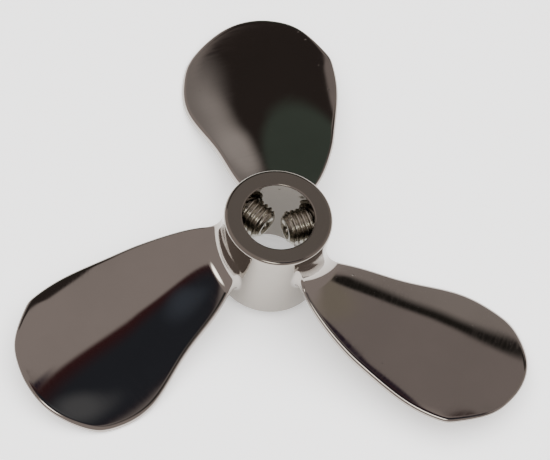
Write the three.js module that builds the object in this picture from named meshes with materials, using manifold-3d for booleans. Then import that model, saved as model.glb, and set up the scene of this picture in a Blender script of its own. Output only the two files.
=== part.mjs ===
// Three-blade boat propeller with a plain shaft bore and two hub set screws.
// Millimetres, +Z up along the shaft. The origin is the centre of the hub's lower face.

import * as THREE from 'three';
import { mergeVertices } from 'three/addons/utils/BufferGeometryUtils.js';
import Module from 'manifold-3d';

const wasm = await Module();
wasm.setup();

// Hub
const HUB_RADIUS = 15;
const HUB_LENGTH = 28;
const BORE_RADIUS = 10;
const HUB_EDGE_CHAMFER = 1;
const BORE_EDGE_CHAMFER = 0.4;
const HUB_SEGMENTS = 72;

// Blades
const BLADE_COUNT = 3;
const FIRST_BLADE_ANGLE = 90;
const BLADE_SKEW_ANGLE = 7.6;
const TIP_RADIUS = 79.5;
const BLADE_CHORD = 42;
const ROOT_GAP = 0.3;

// Middle surface of a blade: a screw surface about the shaft, which starts at this height
// above the hub's lower face, drops towards the tip and curves down to both long edges
const ROOT_HEIGHT = 12.9;
const RAKE_DROP = 19.1;
const RAKE_RETURN = 10.8;
const LEAD_PER_RADIAN = 8;
const CAMBER = 2.9;

// Blade thickness
const ROOT_EDGE_THICKNESS = 2.6;
const TIP_EDGE_THICKNESS = 1.4;
const TIP_MIDDLE_THICKNESS = 2;
const ROOT_MIDDLE_THICKNESS = 4.8;
const EDGE_ROUND = 1.1;

// Set screws and their tapped holes
const SCREW_ANGLES = [30, 150];
const SCREW_DEPTH = 9;
const SCREW_RADIUS = 5;
const SCREW_LENGTH = 12;
const SCREW_TIP_DISTANCE = 3;
const POINT_CHAMFER = 1.2;
const CUP_RADIUS = 2.5;
const CUP_DEPTH = 0.9;
const SOCKET_ACROSS_FLATS = 5;
const SOCKET_DEPTH = 5;
const SCREW_END_CHAMFER = 0.6;
const SCREW_CLEARANCE = 0.3;
const SCREW_SEGMENTS = 36;

const CUT_OVERRUN = 5;

// Control points of a blade's edge: share of the span from hub side to tip, and share of
// the chord to either side of the blade's own axis. The first and last lie in the hub.
const BLADE_EDGE = [
  [-0.055, -0.26],
  [0.29, -0.395],
  [0.39, -0.4],
  [0.635, -0.435],
  [0.8, -0.375],
  [0.825, -0.35],
  [0.96, -0.15],
  [0.985, 0.035],
  [0.99, 0.175],
  [0.955, 0.39],
  [0.81, 0.6],
  [0.715, 0.635],
  [0.52, 0.635],
  [0.31, 0.385],
  [0.125, 0.285],
  [-0.09, 0.055],
];
const BLADE_CENTRE = [0.45, 0.02];
const EDGE_SAMPLES = 60;
const RING_SHARES = [0.25, 0.5, 0.7, 0.85, 0.95];

const BLADE_SPAN = TIP_RADIUS - HUB_RADIUS;

const STEEL = new THREE.Color(0.4, 0.37, 0.34);

function polishedSteel() {
  return new THREE.MeshStandardMaterial({ color: STEEL, metalness: 1, roughness: 0.12 });
}

function screwSteel() {
  return new THREE.MeshStandardMaterial({ color: STEEL, metalness: 1, roughness: 0.3 });
}

function toSolid(geometry) {
  const bare = geometry.clone();
  bare.deleteAttribute('normal');
  bare.deleteAttribute('uv');
  const merged = mergeVertices(bare, 1e-4);
  return new wasm.Manifold(new wasm.Mesh({
    numProp: 3,
    vertProperties: new Float32Array(merged.attributes.position.array),
    triVerts: new Uint32Array(merged.index.array),
  }));
}

function toGeometry(solid) {
  const mesh = solid.getMesh();
  const geometry = new THREE.BufferGeometry();
  geometry.setAttribute('position', new THREE.BufferAttribute(mesh.vertProperties, 3));
  geometry.setIndex(new THREE.BufferAttribute(mesh.triVerts, 1));
  geometry.computeVertexNormals();
  return geometry;
}

function namedMesh(name, geometry, material) {
  const mesh = new THREE.Mesh(geometry, material);
  mesh.name = name;
  return mesh;
}

function turned(points, segments) {
  const profile = points.map(([radius, height]) => new THREE.Vector2(radius, height));
  return new THREE.LatheGeometry(profile, segments).rotateX(Math.PI / 2);
}

// Point on a closed uniform cubic B-spline through the control points, share 0 to 1
function closedSpline(points, share) {
  const place = share * points.length;
  const step = Math.floor(place);
  const f = place - step;
  const weights = [
    (1 - f) ** 3 / 6,
    (3 * f ** 3 - 6 * f ** 2 + 4) / 6,
    (-3 * f ** 3 + 3 * f ** 2 + 3 * f + 1) / 6,
    f ** 3 / 6,
  ];
  const result = [0, 0];
  weights.forEach((weight, k) => {
    const point = points[(step + k) % points.length];
    result[0] += weight * point[0];
    result[1] += weight * point[1];
  });
  return result;
}

function bladeMiddleHeight(span, chord) {
  const around = Math.atan2(BLADE_CHORD * chord, HUB_RADIUS + BLADE_SPAN * span);
  const rake = RAKE_RETURN * span ** 2 - RAKE_DROP * span;
  return ROOT_HEIGHT + rake - LEAD_PER_RADIAN * around - CAMBER * (2 * chord) ** 2;
}

function bladeThickness(span, ringShare) {
  const reach = Math.max(span, 0);
  const middle = THREE.MathUtils.lerp(ROOT_MIDDLE_THICKNESS, TIP_MIDDLE_THICKNESS, reach);
  const edge = THREE.MathUtils.lerp(ROOT_EDGE_THICKNESS, TIP_EDGE_THICKNESS, reach);
  return THREE.MathUtils.lerp(middle, edge, ringShare ** 2);
}

function bladeRing(ringShare) {
  const ring = [];
  for (let i = 0; i < EDGE_SAMPLES; i += 1) {
    const edge = closedSpline(BLADE_EDGE, i / EDGE_SAMPLES);
    const span = THREE.MathUtils.lerp(BLADE_CENTRE[0], edge[0], ringShare);
    const chord = THREE.MathUtils.lerp(BLADE_CENTRE[1], edge[1], ringShare);
    ring.push([span, chord]);
  }
  return ring;
}

// One blade lying along +X, its root running on into the hub
function bladeSolid() {
  const vertices = [];
  const faces = [];
  const point = (span, chord, height) => {
    vertices.push(HUB_RADIUS + span * BLADE_SPAN, chord * BLADE_CHORD, height);
    return vertices.length / 3 - 1;
  };
  const surface = (side) => {
    const centreHalf = bladeThickness(BLADE_CENTRE[0], 0) / 2;
    const centre = point(...BLADE_CENTRE, bladeMiddleHeight(...BLADE_CENTRE) + side * centreHalf);
    const rings = RING_SHARES.map((ringShare) => bladeRing(ringShare).map(([span, chord]) => {
      const half = bladeThickness(span, ringShare) / 2;
      return point(span, chord, bladeMiddleHeight(span, chord) + side * half);
    }));
    return { centre, rings };
  };
  const upper = surface(1);
  const lower = surface(-1);
  const flankShare = 1 - EDGE_ROUND / BLADE_CHORD;
  const flank = (side) => bladeRing(flankShare).map(([span, chord]) => (
    point(span, chord, bladeMiddleHeight(span, chord) + side * bladeThickness(span, 1) / 2)
  ));
  const upperFlank = flank(1);
  const lowerFlank = flank(-1);
  const rim = bladeRing(1).map(([span, chord]) => point(span, chord, bladeMiddleHeight(span, chord)));

  const join = (inner, outer, flip) => {
    for (let i = 0; i < EDGE_SAMPLES; i += 1) {
      const j = (i + 1) % EDGE_SAMPLES;
      const quad = [inner[i], outer[i], outer[j], inner[j]];
      const order = flip ? [0, 2, 1, 0, 3, 2] : [0, 1, 2, 0, 2, 3];
      order.forEach((k) => faces.push(quad[k]));
    }
  };
  const cap = (centre, ring, flip) => {
    for (let i = 0; i < EDGE_SAMPLES; i += 1) {
      const j = (i + 1) % EDGE_SAMPLES;
      faces.push(centre, flip ? ring[j] : ring[i], flip ? ring[i] : ring[j]);
    }
  };
  cap(upper.centre, upper.rings[0], false);
  cap(lower.centre, lower.rings[0], true);
  for (let k = 1; k < RING_SHARES.length; k += 1) {
    join(upper.rings[k - 1], upper.rings[k], false);
    join(lower.rings[k - 1], lower.rings[k], true);
  }
  const last = RING_SHARES.length - 1;
  join(upper.rings[last], upperFlank, false);
  join(lower.rings[last], lowerFlank, true);
  join(upperFlank, rim, false);
  join(lowerFlank, rim, true);

  const geometry = new THREE.BufferGeometry();
  geometry.setAttribute('position', new THREE.Float32BufferAttribute(vertices, 3));
  geometry.setIndex(faces);
  return toSolid(geometry);
}

function bladeMesh(index) {
  const clearing = turned([
    [0, -HUB_LENGTH],
    [HUB_RADIUS + ROOT_GAP, -HUB_LENGTH],
    [HUB_RADIUS + ROOT_GAP, 2 * HUB_LENGTH],
    [0, 2 * HUB_LENGTH],
  ], HUB_SEGMENTS);
  const angle = FIRST_BLADE_ANGLE + BLADE_SKEW_ANGLE + index * 360 / BLADE_COUNT;
  const geometry = toGeometry(bladeSolid().subtract(toSolid(clearing)));
  const mesh = namedMesh(`blade_${index + 1}`, geometry, polishedSteel());
  mesh.rotation.z = THREE.MathUtils.degToRad(angle);
  return mesh;
}

function screwFrame(angle) {
  const radians = THREE.MathUtils.degToRad(angle);
  const outward = new THREE.Vector3(Math.cos(radians), Math.sin(radians), 0);
  const turn = new THREE.Quaternion().setFromUnitVectors(new THREE.Vector3(0, 0, 1), outward);
  return new THREE.Matrix4().makeRotationFromQuaternion(turn)
    .setPosition(0, 0, HUB_LENGTH - SCREW_DEPTH);
}

function tappedHole(angle) {
  const hole = turned([
    [0, 0],
    [SCREW_RADIUS, 0],
    [SCREW_RADIUS, HUB_RADIUS + CUT_OVERRUN],
    [0, HUB_RADIUS + CUT_OVERRUN],
  ], SCREW_SEGMENTS);
  return hole.applyMatrix4(screwFrame(angle));
}

function hubMesh() {
  const profile = [
    [BORE_RADIUS, BORE_EDGE_CHAMFER],
    [BORE_RADIUS + BORE_EDGE_CHAMFER, 0],
    [HUB_RADIUS - HUB_EDGE_CHAMFER, 0],
    [HUB_RADIUS, HUB_EDGE_CHAMFER],
    [HUB_RADIUS, HUB_LENGTH - HUB_EDGE_CHAMFER],
    [HUB_RADIUS - HUB_EDGE_CHAMFER, HUB_LENGTH],
    [BORE_RADIUS + BORE_EDGE_CHAMFER, HUB_LENGTH],
    [BORE_RADIUS, HUB_LENGTH - BORE_EDGE_CHAMFER],
    [BORE_RADIUS, BORE_EDGE_CHAMFER],
  ];
  let solid = toSolid(turned(profile, HUB_SEGMENTS));
  SCREW_ANGLES.forEach((angle) => {
    solid = solid.subtract(toSolid(tappedHole(angle)));
  });
  return namedMesh('hub', toGeometry(solid), polishedSteel());
}

function setScrewMesh(index) {
  const radius = SCREW_RADIUS - SCREW_CLEARANCE;
  const start = SCREW_TIP_DISTANCE;
  const end = SCREW_TIP_DISTANCE + SCREW_LENGTH;
  const body = turned([
    [0, start + CUP_DEPTH],
    [CUP_RADIUS, start],
    [radius - POINT_CHAMFER, start],
    [radius, start + POINT_CHAMFER],
    [radius, end - SCREW_END_CHAMFER],
    [radius - SCREW_END_CHAMFER, end],
    [0, end],
  ], SCREW_SEGMENTS);
  const socketRadius = SOCKET_ACROSS_FLATS / 2 / Math.cos(Math.PI / 6);
  const socket = turned([
    [0, end - SOCKET_DEPTH],
    [socketRadius, end - SOCKET_DEPTH],
    [socketRadius, end + CUT_OVERRUN],
    [0, end + CUT_OVERRUN],
  ], 6);
  const geometry = toGeometry(toSolid(body).subtract(toSolid(socket)));
  const mesh = namedMesh(`set_screw_${index + 1}`, geometry, screwSteel());
  mesh.applyMatrix4(screwFrame(SCREW_ANGLES[index]));
  return mesh;
}

const propeller = new THREE.Group();
propeller.add(hubMesh());
for (let index = 0; index < BLADE_COUNT; index += 1) {
  propeller.add(bladeMesh(index));
}
SCREW_ANGLES.forEach((_, index) => propeller.add(setScrewMesh(index)));

export default propeller;
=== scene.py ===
import math

import bpy
import numpy as np
from mathutils import Matrix, Vector


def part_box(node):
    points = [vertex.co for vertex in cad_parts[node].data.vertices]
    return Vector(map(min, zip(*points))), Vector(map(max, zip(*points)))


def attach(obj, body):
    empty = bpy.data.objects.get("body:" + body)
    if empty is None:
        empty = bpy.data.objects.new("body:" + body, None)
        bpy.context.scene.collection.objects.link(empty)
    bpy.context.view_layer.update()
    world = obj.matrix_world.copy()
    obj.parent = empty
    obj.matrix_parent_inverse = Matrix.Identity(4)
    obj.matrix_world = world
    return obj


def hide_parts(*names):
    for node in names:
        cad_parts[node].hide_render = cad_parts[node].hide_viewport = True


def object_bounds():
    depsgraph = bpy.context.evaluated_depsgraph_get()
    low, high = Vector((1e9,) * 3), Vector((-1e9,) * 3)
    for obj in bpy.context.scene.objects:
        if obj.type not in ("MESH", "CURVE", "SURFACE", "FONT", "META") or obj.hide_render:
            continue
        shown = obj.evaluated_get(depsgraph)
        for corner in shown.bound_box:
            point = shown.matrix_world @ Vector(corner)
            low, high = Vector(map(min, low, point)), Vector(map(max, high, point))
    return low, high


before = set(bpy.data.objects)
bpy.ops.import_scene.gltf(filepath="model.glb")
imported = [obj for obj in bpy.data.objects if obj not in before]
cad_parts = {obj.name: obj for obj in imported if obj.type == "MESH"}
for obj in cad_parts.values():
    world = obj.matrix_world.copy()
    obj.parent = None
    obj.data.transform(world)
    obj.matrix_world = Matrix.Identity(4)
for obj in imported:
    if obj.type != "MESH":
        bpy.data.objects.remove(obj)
CAD_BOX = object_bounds()

# ---------------------------------------------------------------- sizes, in metres
MM = 0.001

HUB_LOW, HUB_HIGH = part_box("hub")
HUB_RADIUS = HUB_HIGH.x
HUB_LENGTH = HUB_HIGH.z
BORE_RADIUS = 10 * MM
HUB_EDGE_ROUND = 1 * MM
BORE_EDGE_ROUND = 0.4 * MM

# The blade repeats the part's own values
BLADE_COUNT = 3
FIRST_BLADE_ANGLE = 90
BLADE_SKEW_ANGLE = 7.6
TIP_RADIUS = 79.5 * MM
BLADE_SPAN = TIP_RADIUS - HUB_RADIUS
BLADE_CHORD = 42 * MM
ROOT_HEIGHT = 12.9 * MM
RAKE_DROP = 19.1 * MM
RAKE_RETURN = 10.8 * MM
LEAD_PER_RADIAN = 8 * MM
CAMBER = 2.9 * MM
ROOT_EDGE_THICKNESS = 2.6 * MM
TIP_EDGE_THICKNESS = 1.4 * MM
TIP_MIDDLE_THICKNESS = 2 * MM
ROOT_MIDDLE_THICKNESS = 4.8 * MM
EDGE_ROUND = 1.1 * MM

# How far the root's concave collar reaches along the blade, up and down the hub, and past
# the blade's two edges
FILLET_ON_BLADE = 4.6 * MM
FILLET_ON_HUB = 7 * MM
LOWER_FILLET = 3.5 * MM
CORNER_FILLET = 1.8 * MM
FILLET_BURIED = 1 * MM

# Control points of the blade's edge, as shares of span and chord. They are the rounded
# result of an outline fit, not points chosen by hand.
BLADE_EDGE = np.array([
    [-0.055, -0.26], [0.29, -0.395], [0.39, -0.4], [0.635, -0.435],
    [0.8, -0.375], [0.825, -0.35], [0.96, -0.15], [0.985, 0.035],
    [0.99, 0.175], [0.955, 0.39], [0.81, 0.6], [0.715, 0.635],
    [0.52, 0.635], [0.31, 0.385], [0.125, 0.285], [-0.09, 0.055],
])
BLADE_CENTRE = np.array([0.45, 0.02])

# Set screws: angle round the shaft, then lengths along and radii about the screw's own axis
SCREW_ANGLES = {"set_screw_1": 30, "set_screw_2": 150}
SCREW_HEIGHT = HUB_LENGTH - 9 * MM
SCREW_TIP = 3 * MM
SCREW_LENGTH = 12 * MM
THREAD_PITCH = 1.5 * MM
THREAD_CREST = 4.9 * MM
THREAD_ROOT = 4.1 * MM
THREAD_CREST_WIDENING = 0.8
POINT_RADIUS = 3.5 * MM
OUTER_END_RADIUS = 4.3 * MM
HOLE_RADIUS = 5 * MM
HOLE_LIP = 0.5 * MM
CUTTER_PAST_HUB = 4 * MM
CUP_RADIUS = 2.5 * MM
CUP_DEPTH = 0.9 * MM
CUP_LIP_DEPTH = 0.1 * MM
CUP_LIP_WIDTH = 0.2 * MM
POINT_FLAT_INSET = 0.15 * MM
SOCKET_HALF_FLATS = 2.5 * MM
SOCKET_DEPTH = 5 * MM
SOCKET_LIP_WIDTH = 0.25 * MM
SOCKET_LIP_DEPTH = 0.2 * MM
SOCKET_CONE_DEPTH = 1.2 * MM
CONE_TIP_RADIUS = 0.05 * MM


# ---------------------------------------------------------------- camera
CAMERA_ELEVATION = 59.93
CAMERA_AZIMUTH = -1.5
CAMERA_ROLL = -12.86
CAMERA_DISTANCE = 66.95 * 15 * MM
CAMERA_SIDE_STEP = 0.0676 * 15 * MM
CAMERA_UP_STEP = 0.244 * 15 * MM
CAMERA_LENS = 240.8
CAMERA_CLIP_START = 0.05
SENSOR_WIDTH = 36


def add_camera():
    """A camera that looks down on the hub's upper face, rolled and stepped aside a little."""
    elevation = math.radians(CAMERA_ELEVATION)
    azimuth = math.radians(CAMERA_AZIMUTH)
    roll = math.radians(CAMERA_ROLL)
    turn = Matrix.Rotation(azimuth, 3, "Z")
    right = turn @ Vector((1, 0, 0))
    up = turn @ Vector((0, math.sin(elevation), math.cos(elevation)))
    forward = turn @ Vector((0, math.cos(elevation), -math.sin(elevation)))
    side = math.cos(roll) * right - math.sin(roll) * up
    head = math.sin(roll) * right + math.cos(roll) * up
    aim = Vector((0, 0, HUB_LENGTH))
    place = aim - forward * CAMERA_DISTANCE - side * CAMERA_SIDE_STEP - head * CAMERA_UP_STEP
    data = bpy.data.cameras.new("camera")
    data.sensor_width = SENSOR_WIDTH
    data.lens = CAMERA_LENS
    data.clip_start = CAMERA_CLIP_START
    camera = bpy.data.objects.new("camera", data)
    axes = Matrix((side, head, -forward)).transposed()
    camera.matrix_world = Matrix.Translation(place) @ axes.to_4x4()
    bpy.context.scene.collection.objects.link(camera)
    bpy.context.scene.camera = camera


# ---------------------------------------------------------------- mesh helpers
def make_object(name, vertices, faces, material):
    mesh = bpy.data.meshes.new(name)
    mesh.from_pydata([tuple(v) for v in vertices], [], [tuple(f) for f in faces])
    mesh.validate()
    mesh.polygons.foreach_set("use_smooth", [True] * len(mesh.polygons))
    mesh.materials.append(material)
    mesh.update()
    piece = bpy.data.objects.new(name, mesh)
    bpy.context.scene.collection.objects.link(piece)
    return piece


def grid_faces(rows, columns, start=0, flip=False, closed_rows=False):
    """Quads between rows of vertices that each close on themselves."""
    faces = []
    last = rows if closed_rows else rows - 1
    for r in range(last):
        a, b = start + r * columns, start + ((r + 1) % rows) * columns
        for c in range(columns):
            d = (c + 1) % columns
            quad = (a + c, b + c, b + d, a + d)
            faces.append(quad[::-1] if flip else quad)
    return faces


def rotate_z(points, degrees):
    angle = math.radians(degrees)
    c, s = math.cos(angle), math.sin(angle)
    out = points.copy()
    out[:, 0] = c * points[:, 0] - s * points[:, 1]
    out[:, 1] = s * points[:, 0] + c * points[:, 1]
    return out


# ---------------------------------------------------------------- blade shape
EDGE_SAMPLES = 280
RIM_STEPS = 9
FIRST_RING_SHARE = 0.03
ROOT_FINE_SHARE = 0.72
COARSE_RINGS = 22
FINE_RINGS = 20
REACH_SAMPLES = 2000


def closed_spline(points, shares):
    """Points on a closed uniform cubic B-spline, at shares of its length from 0 to 1."""
    count = len(points)
    place = np.asarray(shares) % 1.0 * count
    step = np.floor(place).astype(int)
    f = place - step
    weights = (
        (1 - f) ** 3 / 6,
        (3 * f ** 3 - 6 * f ** 2 + 4) / 6,
        (-3 * f ** 3 + 3 * f ** 2 + 3 * f + 1) / 6,
        f ** 3 / 6,
    )
    return sum(w[:, None] * points[(step + k) % count] for k, w in enumerate(weights))


def middle_height(span, chord):
    """Height of the blade's middle surface: a screw surface with rake and camber."""
    around = np.arctan2(chord * BLADE_CHORD, HUB_RADIUS + span * BLADE_SPAN)
    rake = RAKE_RETURN * span ** 2 - RAKE_DROP * span
    return ROOT_HEIGHT + rake - LEAD_PER_RADIAN * around - CAMBER * (2 * chord) ** 2


def thickness(span, ring_share):
    """Thickness at a share of the way from the blade's centre to its edge."""
    t = np.clip(span, 0, 1)
    middle = ROOT_MIDDLE_THICKNESS * (1 - t) + TIP_MIDDLE_THICKNESS * t
    edge = ROOT_EDGE_THICKNESS * (1 - t) + TIP_EDGE_THICKNESS * t
    share = np.clip(ring_share, 0, 1) ** 2
    return middle * (1 - share) + edge * share


def edge_reach(angle):
    """Distance from the blade's centre to its edge, in each direction in span and chord."""
    shares = np.linspace(0, 1, REACH_SAMPLES, endpoint=False)
    samples = closed_spline(BLADE_EDGE, shares) - BLADE_CENTRE
    around = np.arctan2(samples[:, 1], samples[:, 0])
    order = np.argsort(around)
    reach = np.hypot(samples[:, 0], samples[:, 1])[order]
    return np.interp(angle, around[order], reach, period=2 * math.pi)


def span_chord(radius, angle):
    x, y = radius * np.cos(angle), radius * np.sin(angle)
    return (x - HUB_RADIUS) / BLADE_SPAN, y / BLADE_CHORD


def ring_share_at(span, chord):
    dx, dy = span - BLADE_CENTRE[0], chord - BLADE_CENTRE[1]
    return np.hypot(dx, dy) / edge_reach(np.arctan2(dy, dx))


def blade_body():
    """The plate itself: rings that shrink from the edge to the centre, on both sides."""
    size = np.array([BLADE_SPAN, BLADE_CHORD])
    edge = closed_spline(BLADE_EDGE, np.linspace(0, 1, EDGE_SAMPLES, endpoint=False)) * size
    centre = BLADE_CENTRE * size
    along = np.roll(edge, -1, 0) - np.roll(edge, 1, 0)
    inward = np.stack([-along[:, 1], along[:, 0]], -1)
    inward /= np.linalg.norm(inward, axis=1)[:, None]
    flank = edge + inward * EDGE_ROUND
    coarse = np.linspace(FIRST_RING_SHARE, ROOT_FINE_SHARE, COARSE_RINGS, endpoint=False)
    fine = np.linspace(ROOT_FINE_SHARE, 1, FINE_RINGS, endpoint=False)
    shares = np.concatenate([coarse, fine])

    def place(plan, half):
        span, chord = (plan / size).T
        return np.stack([HUB_RADIUS + plan[:, 0], plan[:, 1], middle_height(span, chord) + half], -1)

    def half_thickness(plan):
        span, chord = (plan / size).T
        return thickness(span, ring_share_at(span, chord)) / 2

    def ring(share, side):
        plan = centre + (flank - centre) * share
        return place(plan, side * half_thickness(plan))

    rows = [ring(s, 1) for s in shares]
    for step in range(RIM_STEPS + 1):
        turn = math.pi * step / RIM_STEPS
        rows.append(place(flank - inward * EDGE_ROUND * math.sin(turn),
                          half_thickness(flank) * math.cos(turn)))
    rows += [ring(s, -1) for s in shares[::-1]]
    span, chord = BLADE_CENTRE
    half = thickness(span, 0) / 2
    top, bottom = place(centre[None, :], half), place(centre[None, :], -half)
    vertices = np.concatenate([top, *rows, bottom])
    faces = grid_faces(len(rows), EDGE_SAMPLES, start=1)
    last = len(vertices) - 1
    first_of_last = last - EDGE_SAMPLES
    for c in range(EDGE_SAMPLES):
        d = (c + 1) % EDGE_SAMPLES
        faces.append((0, 1 + c, 1 + d))
        faces.append((last, first_of_last + d, first_of_last + c))
    return vertices, faces


LOOP_FLAT = 90
LOOP_RIM = 14
CROSSING_SAMPLES = 4000
ROOT_SPAN_SHARE = 0.4
FILLET_STEPS = 24
FILLET_PROBE = 0.2 * MM
FILLET_SLOPE_STEP = 0.01


def root_loop(radius):
    """Angle and height round the blade's section where it crosses a cylinder about the shaft."""
    shares = np.linspace(0, 1, CROSSING_SAMPLES, endpoint=False)
    edge = closed_spline(BLADE_EDGE, shares)
    x = HUB_RADIUS + edge[:, 0] * BLADE_SPAN
    y = edge[:, 1] * BLADE_CHORD
    away = np.hypot(x, y)
    angle = np.arctan2(y, x)
    sides = []
    for side in (-1, 1):
        near = (side * edge[:, 1] > 0) & (edge[:, 0] < ROOT_SPAN_SHARE)
        order = np.argsort(away[near])
        sides.append(np.interp(radius, away[near][order], angle[near][order]))
    low, high = sides
    inset = EDGE_ROUND / radius
    across = np.linspace(low + inset, high - inset, LOOP_FLAT)
    span, chord = span_chord(radius, across)
    half = thickness(span, ring_share_at(span, chord)) / 2
    middle = middle_height(span, chord)
    turns = np.linspace(0, math.pi, LOOP_RIM + 2)[1:-1]

    def rim(end, outward, turns):
        around = end + outward * inset * np.sin(turns)
        index = 0 if outward < 0 else -1
        return around, middle_height(*span_chord(radius, around)) + half[index] * np.cos(turns)

    high_angle, high_height = rim(high - inset, 1, turns)
    low_angle, low_height = rim(low + inset, -1, turns[::-1])
    angles = np.concatenate([across, high_angle, across[::-1], low_angle])
    heights = np.concatenate([middle + half, high_height, (middle - half)[::-1], low_height])
    return angles, heights


def root_fillet():
    """The concave collar that runs from the blade on to the hub, with its own true normals."""
    rim_radius = HUB_RADIUS + FILLET_ON_BLADE
    far_angle, far_height = root_loop(rim_radius)
    next_angle, next_height = root_loop(rim_radius + FILLET_PROBE)
    near_angle = far_angle - (next_angle - far_angle) / FILLET_PROBE * FILLET_ON_BLADE
    near_height = far_height - (next_height - far_height) / FILLET_PROBE * FILLET_ON_BLADE
    arc = near_angle * HUB_RADIUS
    d_arc = np.roll(arc, -1) - np.roll(arc, 1)
    d_height = np.roll(near_height, -1) - np.roll(near_height, 1)
    length = np.hypot(d_arc, d_height)
    out_arc, out_height = -d_height / length, d_arc / length
    foot_angle = near_angle + out_arc * CORNER_FILLET / HUB_RADIUS
    foot_height = near_height + out_height * np.where(out_height > 0, FILLET_ON_HUB, LOWER_FILLET)

    def blend(t):
        weights = ((1 - t) ** 2, 2 * t * (1 - t), t ** 2)
        radii = (rim_radius, HUB_RADIUS, HUB_RADIUS)
        angle = weights[0] * far_angle + weights[1] * near_angle + weights[2] * foot_angle
        height = weights[0] * far_height + weights[1] * near_height + weights[2] * foot_height
        radius = sum(w * r for w, r in zip(weights, radii))
        return np.stack([radius * np.cos(angle), radius * np.sin(angle), height], -1)

    rows, normals = [], []
    for t in np.linspace(0, 1, FILLET_STEPS + 1):
        before, after = max(t - FILLET_SLOPE_STEP, 0), min(t + FILLET_SLOPE_STEP, 1)
        here = blend(t)
        normal = np.cross(np.roll(here, -1, 0) - np.roll(here, 1, 0), blend(after) - blend(before))
        rows.append(here)
        normals.append(normal / np.linalg.norm(normal, axis=1)[:, None])
    columns = len(near_angle)
    faces = grid_faces(len(rows), columns, flip=True)
    hidden_start = len(rows) * columns
    buried = HUB_RADIUS - FILLET_BURIED

    def shrunk(values):
        """Half as far from their middle, which keeps the hidden rows inside the blade."""
        return values.mean() + (values - values.mean()) / 2

    def loop(radius, angle, height):
        return np.stack([radius * np.cos(angle), radius * np.sin(angle), height], -1)

    hidden = [
        rows[-1],
        loop(buried, foot_angle, foot_height),
        loop(buried, shrunk(near_angle), shrunk(near_height)),
        loop(rim_radius, shrunk(far_angle), shrunk(far_height)),
        rows[0],
    ]
    faces += grid_faces(len(hidden), columns, start=hidden_start, flip=True)
    hidden_normals = [normals[-1]] * 2 + [normals[0]] * 3
    return np.concatenate(rows + hidden), np.concatenate(normals + hidden_normals), faces


def add_blade(index, material):
    """One blade with its collar; the collar's vertices carry its true normals."""
    body, body_faces = blade_body()
    collar, collar_normals, collar_faces = root_fillet()
    vertices = np.concatenate([body, collar])
    faces = body_faces + [tuple(k + len(body) for k in f) for f in collar_faces]
    angle = FIRST_BLADE_ANGLE + BLADE_SKEW_ANGLE + 360 / BLADE_COUNT * index
    node = f"blade_{index + 1}"
    piece = make_object(f"{node}_polished", rotate_z(vertices, angle), faces, material)
    normals = np.array([v.normal for v in piece.data.vertices])
    normals[len(body):] = rotate_z(collar_normals, angle)
    piece.data.normals_split_custom_set_from_vertices(normals.tolist())
    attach(piece, "propeller")
    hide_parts(node)


# ---------------------------------------------------------------- hub
HUB_SEGMENTS = 384
CORNER_STEPS = 6
HOLE_SEGMENTS = 128
FACET_TILT = 0.02


def round_corner(centre, start, end, radius):
    turns = np.radians(np.linspace(start, end, CORNER_STEPS + 1))
    return [(centre[0] + radius * math.cos(t), centre[1] + radius * math.sin(t)) for t in turns]


def hub_profile():
    """The hub's section as radius and height, with all four edges rounded."""
    r, b = HUB_EDGE_ROUND, BORE_EDGE_ROUND
    top, outer, bore = HUB_LENGTH, HUB_RADIUS, BORE_RADIUS
    profile = []
    profile += round_corner((bore + b, b), 180, 270, b)
    profile += round_corner((outer - r, r), 270, 360, r)
    profile += round_corner((outer - r, top - r), 0, 90, r)
    profile += round_corner((bore + b, top - b), 90, 180, b)
    return profile


def screw_axes(degrees):
    angle = math.radians(degrees)
    outward = Vector((math.cos(angle), math.sin(angle), 0))
    side = Vector((-math.sin(angle), math.cos(angle), 0))
    return outward, side


def capped_turning(degrees, rows):
    """Rings of (place along, radius) pairs about a screw's axis, closed by a cap at both ends."""
    outward, side = screw_axes(degrees)
    columns = len(rows[0])
    vertices = []
    for row in rows:
        for k, (place, radius) in enumerate(row):
            turn = 2 * math.pi * k / columns
            vertices.append(outward * place + side * radius * math.cos(turn)
                            + Vector((0, 0, SCREW_HEIGHT + radius * math.sin(turn))))
    faces = grid_faces(len(rows), columns, flip=True)
    faces.append(tuple(range(columns)))
    faces.append(tuple(range((len(rows) - 1) * columns, len(rows) * columns))[::-1])
    return vertices, faces


def hole_cutter(degrees):
    """The tapped hole's plain bore, with a chamfer where it leaves the hub."""
    wide = HOLE_RADIUS + 2 * HOLE_LIP
    stations = [
        (0, HOLE_RADIUS),
        (HUB_RADIUS - HOLE_LIP, HOLE_RADIUS),
        (HUB_RADIUS + HOLE_LIP, wide),
        (HUB_RADIUS + CUTTER_PAST_HUB, wide),
    ]
    vertices, faces = capped_turning(degrees, [[station] * HOLE_SEGMENTS for station in stations])
    mesh = bpy.data.meshes.new("cutter")
    mesh.from_pydata(vertices, [], faces)
    mesh.update()
    cutter = bpy.data.objects.new("cutter", mesh)
    bpy.context.scene.collection.objects.link(cutter)
    return cutter


def apply_modifiers(piece):
    bpy.context.view_layer.update()
    graph = bpy.context.evaluated_depsgraph_get()
    mesh = bpy.data.meshes.new_from_object(piece.evaluated_get(graph))
    piece.modifiers.clear()
    piece.data = mesh


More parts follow.
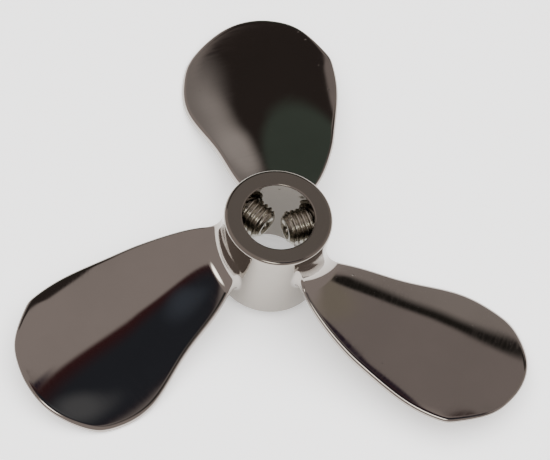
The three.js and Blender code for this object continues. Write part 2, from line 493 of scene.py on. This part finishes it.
def hub_normal(at, flat):
    """True normal of the turned hub at a corner of a face; a hole's faces keep their own."""
    away = Vector((at.x, at.y, 0))
    outward = away.normalized()
    across = flat - outward * flat.dot(outward)
    across.z = 0
    if across.length > FACET_TILT:
        return flat
    if away.length > (HUB_RADIUS + BORE_RADIUS) / 2:
        facing, radius, centre = 1, HUB_EDGE_ROUND, HUB_RADIUS - HUB_EDGE_ROUND
    else:
        facing, radius, centre = -1, BORE_EDGE_ROUND, BORE_RADIUS + BORE_EDGE_ROUND
    side = max((away.length - centre) * facing, 0)
    rise = max(radius - min(at.z, HUB_LENGTH - at.z), 0)
    if side == 0 and rise == 0:
        return flat
    upward = Vector((0, 0, 1 if at.z > HUB_LENGTH / 2 else -1))
    return (outward * facing * side + upward * rise).normalized()


def add_hub(material):
    profile = hub_profile()
    angles = np.linspace(0, 2 * math.pi, HUB_SEGMENTS, endpoint=False)
    rows = [
        np.stack([r * np.cos(angles), r * np.sin(angles), np.full(HUB_SEGMENTS, z)], -1)
        for r, z in profile
    ]
    faces = grid_faces(len(rows), HUB_SEGMENTS, flip=True, closed_rows=True)
    piece = make_object("hub_polished", np.concatenate(rows), faces, material)
    cutters = [hole_cutter(a) for a in SCREW_ANGLES.values()]
    for cutter in cutters:
        cut = piece.modifiers.new("hole", "BOOLEAN")
        cut.operation = "DIFFERENCE"
        cut.solver = "EXACT"
        cut.object = cutter
    apply_modifiers(piece)
    mesh = piece.data
    mesh.polygons.foreach_set("use_smooth", [True] * len(mesh.polygons))
    mesh.normals_split_custom_set([
        hub_normal(mesh.vertices[corner].co, face.normal)
        for face in mesh.polygons for corner in face.vertices
    ])
    for cutter in cutters:
        bpy.data.objects.remove(cutter)
    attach(piece, "propeller")
    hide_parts("hub")


# ---------------------------------------------------------------- set screws
SCREW_SEGMENTS = 96
PITCH_STEPS = 16


def thread_radius(phase):
    """Radius of the thread at a share of one pitch: a rounded crest and a narrower rounded root."""
    wave = (1 + np.cos(2 * math.pi * phase)) / 2
    return THREAD_ROOT + (THREAD_CREST - THREAD_ROOT) * wave ** THREAD_CREST_WIDENING


def add_set_screw(node, degrees, material):
    """Headless screw: cupped point in the bore, thread, hexagon socket at the outer end."""
    turns = np.linspace(0, 2 * math.pi, SCREW_SEGMENTS, endpoint=False)
    start, end = SCREW_TIP, SCREW_TIP + SCREW_LENGTH

    def ring(place, radius):
        radii = np.broadcast_to(radius, turns.shape)
        return [(place, r) for r in radii]

    rows = [
        ring(start + CUP_DEPTH, CONE_TIP_RADIUS),
        ring(start + CUP_LIP_DEPTH, CUP_RADIUS),
        ring(start, CUP_RADIUS + CUP_LIP_WIDTH),
        ring(start, POINT_RADIUS - POINT_FLAT_INSET),
    ]
    for place in np.linspace(start, end, int(SCREW_LENGTH / THREAD_PITCH * PITCH_STEPS) + 1):
        phase = (place / THREAD_PITCH - turns / (2 * math.pi)) % 1.0
        radius = np.minimum(thread_radius(phase), POINT_RADIUS + place - start)
        radius = np.minimum(radius, OUTER_END_RADIUS + end - place)
        rows.append(ring(place, radius))
    hexagon = SOCKET_HALF_FLATS / np.cos((turns % (math.pi / 3)) - math.pi / 6)
    rows += [
        ring(end, hexagon + SOCKET_LIP_WIDTH),
        ring(end - SOCKET_LIP_DEPTH, hexagon),
        ring(end - SOCKET_DEPTH, hexagon),
        ring(end - SOCKET_DEPTH - SOCKET_CONE_DEPTH, CONE_TIP_RADIUS),
    ]
    vertices, faces = capped_turning(degrees, rows)
    piece = make_object(f"{node}_threaded", vertices, faces, material)
    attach(piece, node)
    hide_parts(node)


# ---------------------------------------------------------------- materials
def new_material(name):
    material = bpy.data.materials.new(name)
    material.use_nodes = True
    tree = material.node_tree
    shader = tree.nodes["Principled BSDF"]
    return material, tree, shader


def link_noise(tree, vector, scale, detail):
    noise = tree.nodes.new("ShaderNodeTexNoise")
    noise.inputs["Scale"].default_value = scale
    noise.inputs["Detail"].default_value = detail
    tree.links.new(vector, noise.inputs["Vector"])
    return noise.outputs["Fac"]


def round_the_shaft(tree, place, scale):
    """Distance from the shaft, angle round it and height, each scaled: arcs become straight lines."""
    parts = tree.nodes.new("ShaderNodeSeparateXYZ")
    tree.links.new(place, parts.inputs[0])
    level = tree.nodes.new("ShaderNodeCombineXYZ")
    tree.links.new(parts.outputs["X"], level.inputs["X"])
    tree.links.new(parts.outputs["Y"], level.inputs["Y"])
    radius = tree.nodes.new("ShaderNodeVectorMath")
    radius.operation = "LENGTH"
    tree.links.new(level.outputs[0], radius.inputs[0])
    angle = tree.nodes.new("ShaderNodeMath")
    angle.operation = "ARCTAN2"
    tree.links.new(parts.outputs["Y"], angle.inputs[0])
    tree.links.new(parts.outputs["X"], angle.inputs[1])
    joined = tree.nodes.new("ShaderNodeCombineXYZ")
    tree.links.new(radius.outputs["Value"], joined.inputs["X"])
    tree.links.new(angle.outputs[0], joined.inputs["Y"])
    tree.links.new(parts.outputs["Z"], joined.inputs["Z"])
    scaled = tree.nodes.new("ShaderNodeVectorMath")
    scaled.operation = "MULTIPLY"
    scaled.inputs[1].default_value = scale
    tree.links.new(joined.outputs[0], scaled.inputs[0])
    return scaled.outputs["Vector"]


def ranged(tree, value, from_range, to_range):
    node = tree.nodes.new("ShaderNodeMapRange")
    node.inputs["From Min"].default_value, node.inputs["From Max"].default_value = from_range
    node.inputs["To Min"].default_value, node.inputs["To Max"].default_value = to_range
    tree.links.new(value, node.inputs["Value"])
    return node.outputs["Result"]


def add_bump(tree, height, distance, strength, normal=None):
    bump = tree.nodes.new("ShaderNodeBump")
    bump.inputs["Distance"].default_value = distance
    bump.inputs["Strength"].default_value = strength
    tree.links.new(height, bump.inputs["Height"])
    if normal is not None:
        tree.links.new(normal, bump.inputs["Normal"])
    return bump.outputs["Normal"]


# Colours, and the roughness of clean and of streaked metal, of each steel. The hub's colour is a
# darker copy of the blades' steel: painted shade that dims what the hub reflects.
STEEL = (0.37, 0.342, 0.314)
HUB_STEEL_PAINTED_SHADE = (0.315, 0.29, 0.258)
SCREW_STEEL = (0.62, 0.6, 0.53)
BLADE_ROUGHNESS = (0.05, 0.13)
HUB_ROUGHNESS = (0.06, 0.16)
SCREW_ROUGHNESS = (0.18, 0.3)

# Scales of the steel's patterns, and the depth and strength of each one's bump
STREAK_SCALE = (1500, 1.6, 600)
STREAK_DEPTH = 0.002 * MM
STREAK_STRENGTH = 0.6
CLOUD_SCALE = 45
DULL_SHARE = 0.93
WAVE_SCALE = 28
WAVE_DEPTH = 0.12 * MM
WAVE_STRENGTH = 0.25
PIT_SCALE = 150
PIT_EDGES = (0.02, 0.05)
PIT_DEPTH = 0.05 * MM
PIT_STRENGTH = 0.6


def polished_steel(name, colour, roughness_range):
    """Polished metal: slow waves, fine streaks that run round the shaft, a few small pits."""
    material, tree, shader = new_material(name)
    shader.inputs["Metallic"].default_value = 1
    place = tree.nodes.new("ShaderNodeTexCoord").outputs["Object"]
    streaks = link_noise(tree, round_the_shaft(tree, place, STREAK_SCALE), 1, 3)
    cloud = link_noise(tree, place, CLOUD_SCALE, 4)
    mixed = tree.nodes.new("ShaderNodeMath")
    mixed.operation = "MULTIPLY"
    tree.links.new(ranged(tree, streaks, (0.35, 0.75), (0, 1)), mixed.inputs[0])
    tree.links.new(ranged(tree, cloud, (0.45, 0.65), (0.1, 1)), mixed.inputs[1])
    roughness = ranged(tree, mixed.outputs[0], (0, 1), roughness_range)
    tree.links.new(roughness, shader.inputs["Roughness"])
    tint = tree.nodes.new("ShaderNodeMix")
    tint.data_type = "RGBA"
    tint.inputs["A"].default_value = (*colour, 1)
    tint.inputs["B"].default_value = (*(DULL_SHARE * c for c in colour), 1)
    tree.links.new(ranged(tree, cloud, (0.4, 0.7), (0, 1)), tint.inputs["Factor"])
    tree.links.new(tint.outputs["Result"], shader.inputs["Base Color"])
    waves = add_bump(tree, link_noise(tree, place, WAVE_SCALE, 1), WAVE_DEPTH, WAVE_STRENGTH)
    fine = add_bump(tree, streaks, STREAK_DEPTH, STREAK_STRENGTH, waves)
    cells = tree.nodes.new("ShaderNodeTexVoronoi")
    cells.inputs["Scale"].default_value = PIT_SCALE
    cells.inputs["Randomness"].default_value = 1
    tree.links.new(place, cells.inputs["Vector"])
    pit_height = ranged(tree, cells.outputs["Distance"], PIT_EDGES, (0, 1))
    pits = add_bump(tree, pit_height, PIT_DEPTH, PIT_STRENGTH, fine)
    tree.links.new(pits, shader.inputs["Normal"])
    return material


# ---------------------------------------------------------------- surroundings
FLOOR_HALF_SIZE = 3.0
FLOOR_COLOUR = (0.9, 0.9, 0.9)
FLOOR_ROUGHNESS = 0.6
FLOOR_GLOW = 0.45
KEY_LIGHT_HEIGHT = 1.2
KEY_LIGHT_SIZE = 2.0
KEY_LIGHT_POWER = 62


def pale_floor():
    """A pale floor that glows a little, so that it stays light in the picture."""
    material, tree, shader = new_material("pale_floor")
    shader.inputs["Base Color"].default_value = (*FLOOR_COLOUR, 1)
    shader.inputs["Roughness"].default_value = FLOOR_ROUGHNESS
    shader.inputs["Emission Color"].default_value = (1, 1, 1, 1)
    shader.inputs["Emission Strength"].default_value = FLOOR_GLOW
    return material


def add_floor():
    level = CAD_BOX[0][2]
    size = FLOOR_HALF_SIZE
    corners = [(-size, -size, level), (size, -size, level), (size, size, level), (-size, size, level)]
    floor = make_object("floor", corners, [(0, 1, 2, 3)], pale_floor())


def add_key_light():
    """A soft light straight above that lights the floor and isn't seen in the metal."""
    data = bpy.data.lights.new("key", "AREA")
    data.size = KEY_LIGHT_SIZE
    data.energy = KEY_LIGHT_POWER
    light = bpy.data.objects.new("key", data)
    light.location = (0, 0, KEY_LIGHT_HEIGHT)
    light.rotation_euler = Vector((0, 0, -1)).to_track_quat("-Z", "Y").to_euler()
    light.visible_glossy = False
    bpy.context.scene.collection.objects.link(light)


# The studio round the part, as a map of the sky: straight up is (0, 0), and a spot's distance
# from there is its angle from straight up in degrees. Each patch is painted over those before
# it: centre, half length and half width, turn, softness of its edge, colour.
STUDIO_STRENGTH = 1.57
STUDIO_BASE = (0.33, 0.29, 0.28)
SMALLEST_SQUARE = 1e-9
STUDIO_PATCHES = [
    # dark screen at the back left: brown below, green above, with a pale gap at its end
    ((-17, 46), (33, 16.5), 9, 0.05, (0.037, 0.030, 0.028)),
    ((-14, 63), (30, 15), 12, 0.12, (0.064, 0.082, 0.070)),
    ((-46, 35.5), (9, 4.5), 10, 0.7, (0.25, 0.23, 0.225)),
    ((-41, 41.5), (6.5, 4), 40, 0.6, (0.42, 0.39, 0.38)),
    # grey wall at the back right, beige at its far side, with a dark outline
    ((24.5, 38), (36, 17), 80, 0.06, (0.243, 0.211, 0.205)),
    ((38, 42), (26, 5), 90, 0.6, (0.25, 0.225, 0.19)),
    ((17, 8), (8, 1.5), 0, 0.4, (0.033, 0.021, 0.036)),
    ((30, 12.3), (12, 1.9), 29, 0.4, (0.033, 0.021, 0.036)),
    ((8, 19), (5, 0.9), 90, 0.5, (0.035, 0.018, 0.018)),
    ((27, 63.8), (10.5, 6.8), 0, 0.25, (0.022, 0.020, 0.018)),
    ((25.5, 71.5), (4.5, 8), 0, 0.4, (0.28, 0.25, 0.24)),
    # dark screen nearly overhead: a red rim, then blue black with two cool streaks
    ((13, -9), (15, 16), 0, 0.08, (0.050, 0.017, 0.019)),
    ((15.5, -10.5), (13.5, 13.5), 0, 0.3, (0.028, 0.031, 0.040)),
    ((20.5, -6), (6, 2.6), -60, 0.6, (0.10, 0.105, 0.115)),
    ((9, -14), (8, 2), -30, 0.7, (0.055, 0.065, 0.085)),
    ((42, -21), (14, 5), 0, 0.3, (0.03, 0.03, 0.03)),
    # grey seen in the hub's flat end, and the bright window behind the viewer
    ((1.5, 29.5), (5.5, 4), 0, 0.7, (0.187, 0.167, 0.160)),
    ((2, -34), (10, 6), 0, 0.4, (4.5, 4.4, 4.1)),
]


def sky_map(tree):
    """The direction of view as a place on the flat map of the sky, in degrees."""
    coordinates = tree.nodes.new("ShaderNodeTexCoord")
    parts = tree.nodes.new("ShaderNodeSeparateXYZ")
    tree.links.new(coordinates.outputs["Generated"], parts.inputs[0])

    def math_node(operation, first, second=None):
        node = tree.nodes.new("ShaderNodeMath")
        node.operation = operation
        for slot, value in enumerate((first, second)):
            if value is None:
                continue
            if isinstance(value, (int, float)):
                node.inputs[slot].default_value = value
            else:
                tree.links.new(value, node.inputs[slot])
        return node.outputs[0]

    x, y, z = parts.outputs
    from_zenith = math_node("MULTIPLY", math_node("ARCCOSINE", z), 180 / math.pi)
    level_squared = math_node("ADD", math_node("MULTIPLY", x, x), math_node("MULTIPLY", y, y))
    level = math_node("SQRT", math_node("MAXIMUM", level_squared, SMALLEST_SQUARE))
    scale = math_node("DIVIDE", from_zenith, level)
    joined = tree.nodes.new("ShaderNodeCombineXYZ")
    tree.links.new(math_node("MULTIPLY", x, scale), joined.inputs[0])
    tree.links.new(math_node("MULTIPLY", y, scale), joined.inputs[1])
    return joined.outputs[0]


def paint_patch(tree, plane, under, centre, half_size, turn, softness, colour):
    """One soft-edged ellipse on the sky's map, mixed over what is already there."""
    mapping = tree.nodes.new("ShaderNodeMapping")
    mapping.vector_type = "TEXTURE"
    mapping.inputs["Location"].default_value = (*centre, 0)
    mapping.inputs["Rotation"].default_value = (0, 0, math.radians(turn))
    mapping.inputs["Scale"].default_value = (*half_size, 1)
    tree.links.new(plane, mapping.inputs["Vector"])
    reach = tree.nodes.new("ShaderNodeVectorMath")
    reach.operation = "LENGTH"
    tree.links.new(mapping.outputs[0], reach.inputs[0])
    edge = tree.nodes.new("ShaderNodeMapRange")
    edge.interpolation_type = "SMOOTHSTEP"
    edge.inputs["From Min"].default_value = 1 + softness
    edge.inputs["From Max"].default_value = 1 - softness
    tree.links.new(reach.outputs["Value"], edge.inputs["Value"])
    mix = tree.nodes.new("ShaderNodeMix")
    mix.data_type = "RGBA"
    tree.links.new(edge.outputs["Result"], mix.inputs["Factor"])
    tree.links.new(under, mix.inputs["A"])
    mix.inputs["B"].default_value = (*colour, 1)
    return mix.outputs["Result"]


def add_world():
    world = bpy.data.worlds.new("studio")
    world.use_nodes = True
    tree = world.node_tree
    plane = sky_map(tree)
    base = tree.nodes.new("ShaderNodeRGB")
    base.outputs[0].default_value = (*STUDIO_BASE, 1)
    colour = base.outputs[0]
    for patch in STUDIO_PATCHES:
        colour = paint_patch(tree, plane, colour, *patch)
    tree.links.new(colour, tree.nodes["Background"].inputs["Color"])
    tree.nodes["Background"].inputs["Strength"].default_value = STUDIO_STRENGTH
    bpy.context.scene.world = world


add_camera()
add_floor()
add_world()
add_key_light()

# The hub's steel is the blades' steel made darker, as painted shade
hub_steel = polished_steel("hub_steel", HUB_STEEL_PAINTED_SHADE, HUB_ROUGHNESS)
blade_steel = polished_steel("blade_steel", STEEL, BLADE_ROUGHNESS)
screw_steel = polished_steel("screw_steel", SCREW_STEEL, SCREW_ROUGHNESS)

add_hub(hub_steel)
for blade_index in range(BLADE_COUNT):
    add_blade(blade_index, blade_steel)
for screw_node, screw_angle in SCREW_ANGLES.items():
    add_set_screw(screw_node, screw_angle, screw_steel)
